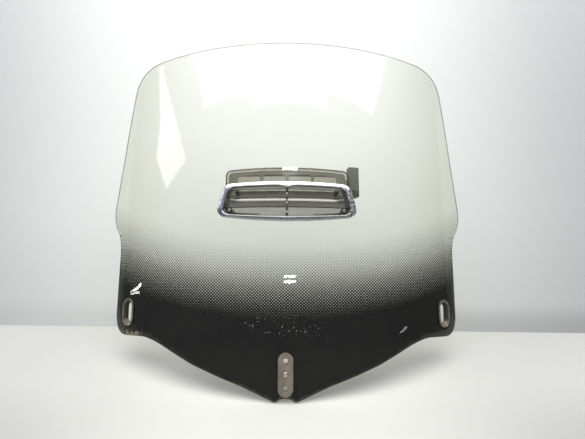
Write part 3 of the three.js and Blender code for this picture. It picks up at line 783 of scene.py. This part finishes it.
def pitted_chrome():
    """Chrome that is pitted at its sides, scuffed along its bottom bar, with painted shade on its inner lip
    and a bluish painted reflection on its left side.
    """
    look = material("bezel_pitted_chrome")
    at = look.layout()
    u, v, n = look.split(at)
    sides = look.times(look.ramp(look.absolute(u), 0.098, 0.108), look.ramp(v, 0.361, 0.354))
    exposed = look.most(sides, look.times(look.ramp(v, 0.356, 0.330), 0.3))
    bottom = look.ramp(v, 0.307, 0.304)
    dull = look.times(sides, look.above(u, 0.0))
    grain = look.noise(at, 240, 4.0, 0.7)
    spread = look.ramp(u, -0.05, 0.05, 0.55, 0.50)
    pits = look.times(look.math("MULTIPLY", look.minus(grain, spread), 22.0, clamp=True), exposed)
    scuffs = look.ramp(look.noise(at, 110, 4.0, 0.6, stretch=(0.4, 2, 1)), 0.56, 0.66)
    # Painted shade: the inner lip under the top bar is painted dark, and worn below carries it along with the
    # pits and scuffs.
    lip = look.times(look.above(v, 0.3525), look.below(v, 0.3605), look.below(n, 0.0067))
    worn = look.most(pits, look.times(scuffs, bottom, 0.85), lip)
    # Painted reflection: a bluish tone on the sides, kept on the left side only, stands in for bluish light
    # mirrored there.
    tone = look.mix(sides, (0.80, 0.82, 0.86), (0.68, 0.73, 0.84))
    tone = look.mix(dull, tone, (0.74, 0.75, 0.77))
    tone = look.mix(look.times(bottom, 0.55), tone, (0.25, 0.25, 0.27))
    tone = look.mix(worn, tone, (0.04, 0.04, 0.05))
    rough = look.most(look.ramp(worn, 0, 1, 0.06, 0.5), look.times(bottom, 0.33), look.times(dull, 0.36))
    metal = look.minus(1.0, look.times(worn, 0.5))
    bump = look.bump(look.times(grain, exposed), 0.5, 0.0008)
    return look.done(look.principled(base_color=tone, metallic=metal, roughness=rough, normal=bump))


def weathered_paint():
    """Patchy brown paint with dark specks, then rust."""
    look = material("plate_weathered_paint")
    at = look.layout()
    tone = blotched(look, at, (0.20, 0.165, 0.125), (0.29, 0.25, 0.195), 120, 0.35, 0.65, 4.0, 0.6)
    tone = blotched(look, at, tone, (0.10, 0.075, 0.055), 900, 0.60, 0.70)
    tone = blotched(look, at, tone, (0.19, 0.075, 0.030), 260, 0.62, 0.72, 4.0)
    bump = look.bump(look.noise(at, 700), 0.25, 0.0003)
    return look.done(look.principled(base_color=tone, metallic=0.15, roughness=0.55, normal=bump))


def plated_steel(name, bright, dark):
    look = material(name)
    at = look.layout()
    tarnish = look.ramp(look.noise(at, 500, 4.0), 0.45, 0.7)
    tone = look.mix(tarnish, bright, dark)
    rough = look.ramp(tarnish, 0, 1, 0.22, 0.5)
    bump = look.bump(look.noise(at, 1800, 2.0), 0.1, 0.0002)
    return look.done(look.principled(base_color=tone, metallic=0.9, roughness=rough, normal=bump))


def socket_screw_steel():
    """A screw head, bright in a ring, with painted shade in its black socket and a dark rim."""
    look = material("socket_screw_steel")
    at = look.layout()
    x, y, _ = look.split(at)
    away = look.distance(x, y)
    ring = look.times(look.ramp(away, 0.0013, 0.0017), look.ramp(away, 0.0030, 0.0025))
    patch = look.noise(at, 600)
    tone = look.mix(patch, (0.62, 0.62, 0.60), (0.85, 0.85, 0.84))
    # Painted shade: black inside the ring, in the socket; the rim outside it is dark as well.
    tone = look.mix(ring, grey(0.02), tone)
    bump = look.bump(patch, 0.1, 0.0002)
    return look.done(look.principled(base_color=tone, metallic=look.times(ring, 0.6), roughness=0.35,
                                     normal=bump))


def worn_rubber():
    """Olive rubber, with a painted highlight at its foot and painted shade inside its slot."""
    look = material("grommet_worn_rubber")
    at = look.layout()
    _, y, z = look.split(at)
    tone = blotched(look, at, (0.075, 0.064, 0.044), (0.165, 0.145, 0.105), 160, 0.38, 0.64, 4.0, 0.65)
    # Painted highlight: a patchy pale beige at the grommet's foot.
    painted_foot_highlight = look.times(look.ramp(look.noise(at, 240, 4.0), 0.45, 0.62), look.ramp(y, -0.012, -0.022))
    tone = look.mix(painted_foot_highlight, tone, (0.52, 0.44, 0.29))
    # Painted shade: dark inside the upper part of the slot.
    painted_slot_shade = look.times(look.ramp(z, 0.0016, 0.0006), look.ramp(y, -0.018, -0.008))
    tone = look.mix(painted_slot_shade, tone, (0.035, 0.028, 0.018))
    bump = look.bump(look.noise(at, 600), 0.3, 0.0003)
    return look.done(look.principled(base_color=tone, roughness=0.55, normal=bump))


def black_rubber():
    look = material("seal_black_rubber")
    at = look.layout()
    tone = look.mix(look.noise(at, 300), grey(0.010), (0.028, 0.027, 0.025))
    bump = look.bump(look.noise(at, 900), 0.2)
    return look.done(look.principled(base_color=tone, roughness=0.7, normal=bump))


def knob_plastic():
    """Speckled grey-green plastic, with painted shade at the knob's foot."""
    look = material("knob_moulded_plastic")
    at = look.layout()
    _, y, _ = look.split(at)
    tone = look.mix(look.noise(at, 110, 4.0, 0.6), (0.110, 0.122, 0.113), (0.170, 0.182, 0.168))
    # Painted shade: darker below the step at the knob's foot.
    tone = look.mix(look.ramp(y, -0.0150, -0.0175), tone, (0.062, 0.062, 0.052))
    tone = blotched(look, at, tone, (0.20, 0.21, 0.19), 1000, 0.60, 0.68)
    bump = look.bump(look.noise(at, 1500, 2.0), 0.25, 0.0002)
    return look.done(look.principled(base_color=tone, roughness=0.55, normal=bump))


SMOKED = smoked("shutter_smoked_plastic", (0.72, 0.705, 0.66))
SMOKED_COVER = smoked("cover_smoked_plastic", (0.77, 0.765, 0.75), haze=0.13,
                      thin=cover_thin, marks=cover_marks)
SMOKED_GRILLE = smoked("grille_smoked_plastic", (0.53, 0.53, 0.50), haze=0.13, roughness=0.2, index=1.22,
                       thin=grille_thin, marks=grille_marks)
SMOKED_SEAL = smoked("seal_smoked_foam", (0.56, 0.545, 0.50), haze=0.16)
CHROME = pitted_chrome()
PAINT = weathered_paint()
ZINC = plated_steel("zinc_plated_steel", (0.62, 0.61, 0.57), (0.30, 0.28, 0.24))
SPRING = plated_steel("spring_steel", (0.42, 0.41, 0.38), (0.24, 0.23, 0.20))
SCREW_STEEL = socket_screw_steel()
RUBBER = worn_rubber()
SEAL = black_rubber()
KNOB = knob_plastic()


# ---- The sheet ----

def screen():
    slots = [stadium(25.2, 44.2, u, SLOT_V) for u in (-SLOT_U, SLOT_U)]
    holes = [resampled(hole, 5) for hole in (inset(bezel_inner(), 2.1), *slots)]
    holes += [*(circle(10, 0, v) for v in BOLT_VS), circle(5.6, 0, EYELET_V)]
    bm = prism(resampled(screen_outline(), 6), -SHEET, 0, holes, edge=0.7, grid=10)
    bent("screen_sheet", bm, FIXED, "screen", [sheet_front(), sheet_back(), sheet_edge()])


# ---- The vent, from front to back ----

def bezel():
    """A chromed frame lofted through rings between its outer and inner edges, with a drop at its top."""
    foot, drop = 1.6, 3.6
    outer, inner = bezel_outer(12), bezel_inner(12)
    dropped = [(u, v - drop * min(1, max(0, (9 - abs(u)) / 4.5)) if v > 350 else v) for u, v in inner]
    section = [(0, foot), (0, 5.2), (0.025, 6.2), (0.08, 6.85), (0.2, 7.3), (0.4, 7.85), (0.6, 8.3),
               (0.74, 8.55), (0.83, 8.6), (0.91, 8.25), (0.97, 7.3), (1, 6.2), (1, foot)]
    rings = [[(x0 + (x1 - x0) * share, y0 + (y1 - y0) * share, n)
              for (x0, y0), (x1, y1) in zip(outer, inner if n == foot else dropped)]
             for share, n in section]
    bent("vent_bezel_frame", lofted(rings), FIXED, "vent_bezel", [CHROME], smooth=50)


def seals():
    hole = inset(bezel_inner(), -0.6)
    ring = prism(resampled(inset(bezel_outer(), 1), 5), 0.3, 1.3, [resampled(hole, 5)], edge=0.25)
    bent("bezel_seal_ring", ring, FIXED, "bezel_gasket", [SEAL] * 3)
    outline = cover_outline()
    ring = prism(resampled(inset(outline, 0.2), 5), -6.3, -5.3, [resampled(inset(outline, 3), 5)], edge=0.25)
    bent("cover_seal_ring", ring, FIXED, "cover_gasket", [SMOKED_SEAL] * 3)


def slat(front_v, back_v, bead):
    """A louvre slat that slopes from its front edge up to its back edge, both of them round."""
    lean = math.degrees(math.atan2(SLAT_BACK - SLAT_FRONT, back_v - front_v))
    outline = bow(back_v, SLAT_BACK, bead, lean - 90, 180, 10)
    outline += bow(front_v, SLAT_FRONT, 1.2, lean + 90, 180, 10)
    return extruded(outline, -112, 112)


def screw_spots(diameter, back, front, *shape):
    """Round solids at both vent screws."""
    return [prism(circle(diameter, u, SCREW_V, *shape), back, front) for u in (-SCREW_U, SCREW_U)]


def grille():
    """A rim behind the bezel with slats, a studded rib, hooks, screw bosses and spring seats inside it."""
    edge = bezel_inner()

    def rim(outer, inner, back):
        return prism(inset(edge, outer), back, GRILLE_FRONT, [inset(edge, inner)])

    joined = [slat(*LOUVRES[1]), prism(rectangle(-2, 300, 2, 362), -3, 3.2)]
    joined += [prism(rectangle(left, 337, left + 30, 355), GRILLE_BACK, -3) for left in (-115, 85)]
    filled = prism(inset(edge, 2.6), GRILLE_BACK, GRILLE_FRONT)
    within = combined("grille_inner", slat(*LOUVRES[0]), ("UNION", *joined), ("INTERSECT", filled))
    added = [rim(2.6, 4.0, GRILLE_BACK), within]
    added += [prism(circle(3.2, 0, v, 16), 2.7, 4) for v in STUD_VS]
    for u in HOOK_US:
        added += [prism(rectangle(u - 7, 352.6, u + 7, 355.1), -7.2, -4),
                  prism(rectangle(u - 7, 352.6, u + 7, 362), -7.2, -5.5)]
    added += screw_spots(SCREW_BOSS, GRILLE_BACK, 2.4)
    cuts = []
    for hole_and_sink in zip(screw_spots(SCREW_HOLE, -6, 3, 20), screw_spots(8, -0.5, 3, 28)):
        cuts += hole_and_sink
    bm = flattened(combined("grille", rim(0.5, 3.6, 3.3), ("UNION", *added), ("DIFFERENCE", *cuts)))
    bent("louvre_grille_body", bm, FIXED, "louvre_grille", [SMOKED_GRILLE], step=8)


def cover():
    """A shell of walls and a plate with windows, open at the right for the shutter's arm."""
    outline = cover_outline()
    windows = [rectangle(left, 364, right, 382, 3) for left, right in WINDOW_SPANS]
    plate = prism(outline, COVER_BACK, COVER_INSIDE, windows, back_edge=0.9, arc=2)
    walls = prism(outline, COVER_INSIDE - 1, COVER_FRONT, [inset(outline, 2.4)])
    arm_slot = prism(rectangle(106, 330.4, 116, 377.6), COVER_INSIDE, SHUTTER_FRONT + 0.6)
    bosses = screw_spots(SCREW_BOSS, COVER_INSIDE - 1, COVER_FRONT)
    holes = screw_spots(SCREW_HOLE, COVER_BACK - 1, COVER_FRONT + 1, 20)
    bm = combined("cover", walls, ("UNION", plate, *bosses), ("DIFFERENCE", *holes, arm_slot))
    bent("vent_cover_shell", bm, FIXED, "vent_cover", [SMOKED_COVER] * 3, step=8)


def screw():
    return turned([(0, -23.6), (1.5, -23.6), (2, -23), (2, -0.2), (3.3, -0.2), (3.5, 0), (3.5, 0.9),
                   (3.3, 1.5), (2.6, 2.0), (1.6, 2.2), (1.3, 2.1), (1.2, 0.8), (0, 0.7)], 32)


def nut():
    hole = circle(SCREW_HOLE, count=24)
    return prism(circle(8.1, count=6), COVER_BACK - 3.5, COVER_BACK - 0.3, [hole], edge=0.4, arc=2)


def spring(side):
    """A leaf spring that bows back from the grille to the shutter."""
    seat, crown, thick, parts = -5.5, SHUTTER_FRONT + 0.8, 0.5, 14
    arch = [(341 + 10 * i / parts, seat + (crown - seat) * math.sin(math.pi * i / parts) ** 1.3)
            for i in range(parts + 1)]
    spots = [(338, seat), *arch, (354, seat)]
    profile = spots + [(v, n - thick) for v, n in reversed(spots)]
    return softened(extruded(profile, side * 90.5 - 3.5, side * 90.5 + 3.5), 0.1, 1, 60)


# ---- What slides ----

def shutter():
    """The part of the cover's outline above the vent, with an arm for the knob and two legs."""
    def flat(*box):
        return prism(rectangle(*box), SHUTTER_BACK, SHUTTER_FRONT)

    body = prism(inset(cover_outline(), 3.2), SHUTTER_BACK, SHUTTER_FRONT)
    crop = prism(rectangle(-120, 357, 120, 400), SHUTTER_BACK - 1, SHUTTER_FRONT + 1)
    added = [flat(-95, 340, -86, 362), flat(86, 340, 95, 362), flat(104, 359, 128, 377)]
    holes = [prism(circle(KNOB_SCREW_HOLE, KNOB_SCREW_U, v, 20), SHUTTER_BACK - 1, SHUTTER_FRONT + 1)
             for v in KNOB_SCREW_VS]
    bm = combined("shutter", body, ("INTERSECT", crop), ("UNION", *added), ("DIFFERENCE", *holes))
    bent("shutter_plate", bm, SLIDING, "shutter", [SMOKED] * 3, step=8)


def knob():
    """A stepped block with a pocket for the shutter's arm and two screw holes from behind."""
    outline = [(0, -26.6), (7.9, -26.6), (7.9, 27.5), (-10, 27.5), (-10, -16.5), (0, -16.5)]
    cuts = [prism(rectangle(-11, -14.9, 3.8, 3.9), -16.5, -13.5)]
    for v in KNOB_SCREW_VS:
        spot = (KNOB_SCREW_U - KNOB_U, v - KNOB_V)
        cuts += [prism(circle(KNOB_SCREW_HOLE, *spot, 20), KNOB_BACK - 1, -9.6),
                 prism(circle(6, *spot, 28), KNOB_BACK - 1, -20.1)]
    bm = softened(combined("knob", prism(outline, KNOB_BACK, KNOB_FRONT), ("DIFFERENCE", *cuts)), 0.8, 3, 50)
    seated("shutter_knob_block", bm, SLIDING, "shutter_knob", [KNOB] * 3, KNOB_U, KNOB_V)


def knob_screw():
    seat = -20.4
    return turned([(0, seat - 0.7), (1, seat - 0.8), (1.1, seat - 1.9), (2.0, seat - 1.9), (2.5, seat - 1.5),
                   (2.7, seat - 1.0), (2.7, seat), (1.5, seat), (1.5, -10.4), (1.2, -10.1), (0, -10)], 28)


# ---- The centre plates, the eyelet and the slots ----

def plate(name, back, cut):
    """A stadium-shaped plate with its two bolt holes, the rivet's hole and one more cut."""
    front = back + PLATE_THICK
    holes = [(9, v) for v in BOLT_VS] + [(5.2, EYELET_V)]
    cuts = [prism(circle(diameter, 0, v - PLATE_V), back - 1, front + 1) for diameter, v in holes]
    base = prism(stadium(25, 70), back, front, edge=0.8)
    return softened(combined(name, base, ("DIFFERENCE", *cuts, cut)), 0.3, 2, 40)


def centre_plates():
    groove = prism(stadium(21.4, 66.4), 3.1, 4, [stadium(19.8, 64.8)])
    front = plate("front_plate", 0.5, groove)
    seated("centre_plate_front", front, FIXED, "centre_plate", [PAINT] * 3, 0, PLATE_V)
    sink = prism(circle(9.2, 0, EYELET_V - PLATE_V), PLATE_BACK - 1, PLATE_BACK + 1.4)
    back = plate("back_plate", PLATE_BACK, sink)
    seated("centre_plate_back", back, FIXED, "centre_backing_plate", [PAINT] * 3, 0, PLATE_V)


def eyelet():
    front, back = 3.8, PLATE_BACK + 1.1
    return turned([(1.65, back - 0.6), (2.0, back - 0.8), (3.6, back - 0.8), (4.1, back - 0.4), (4.1, back),
                   (2.3, back), (2.3, front), (4.1, front), (4.1, front + 0.3), (3.5, front + 0.8),
                   (2.1, front + 0.9), (1.65, front + 0.5)], 40)


def grommet():
    """A one-piece oval grommet lofted through rings: back flange, sleeve, rim and flared slot."""
    rings = [(17, 36, -7.2), (33.4, 51.4, -7.2), (34, 52, -6.9), (34, 52, -5.8), (33.4, 51.4, -5.5),
             (24, 43, -5.5), (24, 43, 0.3), (31.4, 49.6, 0.3), (32.4, 50.6, 0.6), (32.4, 50.6, 1.1),
             (31.6, 49.8, 1.75), (30.4, 48.6, 2.0), (25.6, 44.6, 2.0), (24.5, 43.5, 1.85), (17.6, 36.6, -1.2),
             (17, 36, -1.8)]
    return lofted([[(x, y, n) for x, y in stadium(width, height, arc=24)] for width, height, n in rings])


screen()
bezel()
seals()
grille()
cover()
shutter()
knob()
centre_plates()
seated("centre_eyelet_rivet", eyelet(), FIXED, "centre_eyelet", [ZINC], 0, EYELET_V)
for word, v in zip(("lower", "upper"), KNOB_SCREW_VS):
    seated(f"knob_fixing_{word}", knob_screw(), SLIDING, f"knob_screw_{word}", [ZINC], KNOB_SCREW_U, v)
for word, side in (("left", -1), ("right", 1)):
    seated(f"slot_grommet_ring_{word}", grommet(), FIXED, f"slot_grommet_{word}", [RUBBER],
           side * SLOT_U, SLOT_V)
    seated(f"vent_fixing_{word}", screw(), FIXED, f"vent_screw_{word}", [SCREW_STEEL],
           side * SCREW_U, SCREW_V)
    seated(f"vent_hexagon_{word}", nut(), FIXED, f"vent_nut_{word}", [ZINC] * 3, side * SCREW_U, SCREW_V)
    bent(f"leaf_spring_{word}", spring(side), FIXED, f"friction_spring_{word}", [SPRING], step=4)


# ---- The table, the wall, the light and the camera ----

FLOOR = CAD_BOX[0][2] - 0.3 * MM  # just under the sheet's tips
WALL_Y, WALL_HEIGHT = 0.241, 2.4
CEILING = 1.9


def stage_plane(name, corners, look):
    mesh = bpy.data.meshes.new(name)
    mesh.from_pydata(corners, [], [range(len(corners))])
    mesh.materials.append(look)
    made = scene_object(name, mesh)
    return made


def table_look():
    """Pale, with painted shade towards its sides and front, and a painted dimming far from the part."""
    look = material("table_pale")
    at = look.make("TexCoord", out="Object")
    x, y, _ = look.split(at)
    tone = look.mix(look.noise(at, 3), (0.70, 0.70, 0.67), (0.76, 0.76, 0.73))
    tone = blotched(look, at, tone, (0.62, 0.60, 0.56), 260, 0.72, 0.76, 2.0)
    # Painted shade: darker towards the sides, more so in front.
    side = look.ramp(look.absolute(look.math("ADD", x, 0.01)), 0.08, 0.50)
    tone = look.mix(look.times(side, look.ramp(y, 0.05, -0.16, 0.21, 0.40)), tone, grey(0))
    # Painted shade: dimmer far from the part, where less light falls.
    far = look.ramp(look.make("VectorMath", {0: at}, "Value", operation="LENGTH"), 0.9, 2.0)
    tone = look.mix(look.times(far, 0.6), tone, grey(0.05))
    bump = look.bump(look.noise(at, 120), 0.08)
    return look.done(look.principled(base_color=tone, roughness=0.6, normal=bump))


def wall_look():
    """Pale, with painted shade low down, along its foot and aside; it shows only its front, so that the part
    can be seen from behind.
    """
    look = material("wall_pale")
    x, _, z = look.split(look.make("TexCoord", out="Object"))
    # Painted shade: dimmer aside and low down.
    side = look.ramp(look.absolute(look.math("ADD", x, 0.06)), 0.20, 0.85)
    tone = look.mix(side, (0.95, 0.965, 0.96), (0.58, 0.595, 0.605))
    tone = look.mix(look.times(look.ramp(z, 0.22, FLOOR), 0.2), tone, (0.30, 0.31, 0.32))
    # Painted shade: a dark band along the wall's foot, by the table.
    base = look.times(look.ramp(z, FLOOR + 0.060, FLOOR + 0.012), look.ramp(x, -0.55, 0.45, 0.10, 0.25))
    front = look.principled(base_color=look.mix(base, tone, grey(0)), roughness=0.7)
    return look.done(look.mix_shader(look.from_behind(), front, look.clear()))


def softbox(name, left, right, front, turn):
    """A lamp panel level with the ceiling, from its front edge back over the part."""
    depth, radiance = 1.5, 2.3
    data = bpy.data.lights.new(name, "AREA")
    data.shape, data.size, data.size_y = "RECTANGLE", right - left, depth
    data.energy = radiance * math.pi * data.size * depth
    data.color = (1.0, 1.0, 0.985)
    spin = Matrix.Rotation(math.radians(turn), 4, "Z")
    scene_object(name, data).matrix_world = (Matrix.Translation(((left + right) / 2, front, CEILING)) @ spin
                                             @ Matrix.Translation((0, depth / 2, 0)))


def lamp_look(name, strength):
    look = material(name)
    glow = look.make("Emission", {"Color": WHITE, "Strength": strength})
    return look.done(look.mix_shader(look.from_behind(), glow, look.clear()))


def lamp(name, corners, strength):
    """A small flat lamp, seen only mirrored in the part; its corners run clockwise from behind it."""
    made = stage_plane(name, corners, lamp_look(name, strength))
    made.visible_camera = False
    made.visible_shadow = False


def small_lamps():
    """What the part mirrors: two lamps and a strip in front, windows and low lamps at the sides."""
    def ahead(y, left, right, low, high):
        return [(left, y, low), (left, y, high), (right, y, high), (right, y, low)]

    def beside(x, *spots):
        return [(x, y, z) for y, z in spots]

    lamp("twin_lamp_upper", ahead(-3.5, -0.11, 0.32, 1.757, 1.79), 34)
    lamp("twin_lamp_lower", ahead(-3.5, -0.11, 0.32, 1.685, 1.718), 34)
    lamp("strip_lamp", ahead(-2.5, -0.18, 0.32, 2.70, 2.745), 22)
    lamp("left_window", beside(-2.5, (-0.81, 1.81), (-0.41, 1.22), (0.045, 1.26), (0.155, 1.57), (0.63, 1.98),
                               (-0.15, 1.89)), 2.6)
    lamp("left_low_lamp", beside(-2.5, (0.09, 0.08), (-0.01, 0.15), (-0.11, 0.21), (-0.145, 0.255),
                                 (-0.20, 0.275), (-0.215, 0.255), (-0.16, 0.21), (-0.03, 0.14)), 18)
    lamp("left_low_strip", beside(-2.5, (0.06, 0.085), (-0.065, 0.15), (-0.195, 0.21), (-0.19, 0.187),
                                  (0.04, 0.086)), 12)
    lamp("right_low_lamp", beside(2.5, (-1.38, 0.305), (-1.11, 0.285), (-1.07, 0.255), (-1.30, 0.285)), 5)


def world():
    """Bright overhead and dim low down, which is what the glossy pieces mirror; plainly pale to the eye."""
    made = bpy.data.worlds.new("studio")
    bpy.context.scene.world = made
    look = Nodes(made)
    _, _, z = look.split(look.make("TexCoord", out="Generated"))
    tone = look.mix(look.ramp(z, 0.50, 0.80), (0.16, 0.165, 0.17), grey(0.9))
    seen = look.make("LightPath", out="Is Camera Ray")
    tone = look.mix(seen, tone, (0.80, 0.81, 0.82))
    glow = look.make("Background", {"Color": tone, "Strength": 1.0})
    look.make("OutputWorld", {"Surface": glow})


def camera():
    """Where the photograph was taken from, looking down by pitch."""
    pitch, yaw, roll = math.radians(13.0), math.radians(-0.343), math.radians(0.45)
    data = bpy.data.cameras.new("camera")
    data.sensor_width, data.lens = 36.0, 27.08
    data.clip_start, data.clip_end = 0.01, 30
    made = scene_object("camera", data)
    made.matrix_world = (Matrix.Translation((0.00554, -0.65242, 0.40003)) @ Matrix.Rotation(yaw, 4, "Z")
                         @ Matrix.Rotation(math.pi / 2 - pitch, 4, "X") @ Matrix.Rotation(roll, 4, "Z"))
    bpy.context.scene.camera = made


stage_plane("table", [(-4, -4, FLOOR), (4, -4, FLOOR), (4, 4, FLOOR), (-4, 4, FLOOR)], table_look())
stage_plane("wall", [(-3, WALL_Y + 0.047, FLOOR), (3, WALL_Y - 0.067, FLOOR),
                     (3, WALL_Y + 1.133, FLOOR + WALL_HEIGHT), (-3, WALL_Y + 1.247, FLOOR + WALL_HEIGHT)],
            wall_look())
softbox("softbox_middle", -0.61, 0.69, -0.92, 0)
softbox("softbox_left", -1.65, -0.62, -0.70, -12)
softbox("softbox_right", 0.70, 1.70, -0.70, 7)
small_lamps()
world()
camera()
bpy.context.scene.view_settings.view_transform = "Standard"
bpy.context.scene.cycles.transparent_max_bounces = 32
